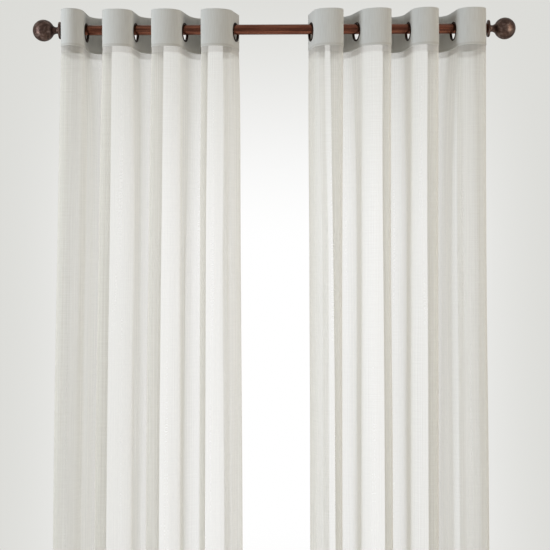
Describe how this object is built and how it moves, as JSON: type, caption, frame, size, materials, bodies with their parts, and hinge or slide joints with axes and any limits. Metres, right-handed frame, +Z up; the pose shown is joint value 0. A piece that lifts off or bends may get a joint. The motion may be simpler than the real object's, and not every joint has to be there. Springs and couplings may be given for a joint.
{
  "type": "sheer curtain pair on a rod",
  "caption": "Pair of sheer voile panels with stiffened eyelet headings, hung in soft folds on a round bronze rod with ball finials.",
  "frame": {"origin": "the middle of the rod's axis, where the brackets' line crosses it", "axes": "+X along the rod to the viewer's right, +Y back towards the surface that the brackets stand on, +Z up"},
  "size_m": [1.2258, 0.1379, 2.134],
  "materials": {
    "voile": "sheer plain-weave polyester voile, pale ivory grey",
    "heading": "the same voile doubled over a stiffener, cool pale grey",
    "eyelet": "dark bronze lacquer, satin",
    "rod": "reddish oil-rubbed bronze, satin",
    "finial": "mottled bronze lacquer on cast resin, semi-gloss"
  },
  "bodies": {
    "root": {"rod": "rod", "finial_left": "finial", "finial_right": "finial", "voile_left": "voile", "voile_right": "voile", "heading_left": "heading", "heading_right": "heading", "eyelet_left_1": "eyelet", "eyelet_left_2": "eyelet", "eyelet_left_3": "eyelet", "eyelet_left_4": "eyelet", "eyelet_left_5": "eyelet", "eyelet_left_6": "eyelet", "eyelet_left_7": "eyelet", "eyelet_left_8": "eyelet", "eyelet_right_1": "eyelet", "eyelet_right_2": "eyelet", "eyelet_right_3": "eyelet", "eyelet_right_4": "eyelet", "eyelet_right_5": "eyelet", "eyelet_right_6": "eyelet", "eyelet_right_7": "eyelet", "eyelet_right_8": "eyelet"}
  },
  "joints": []
}
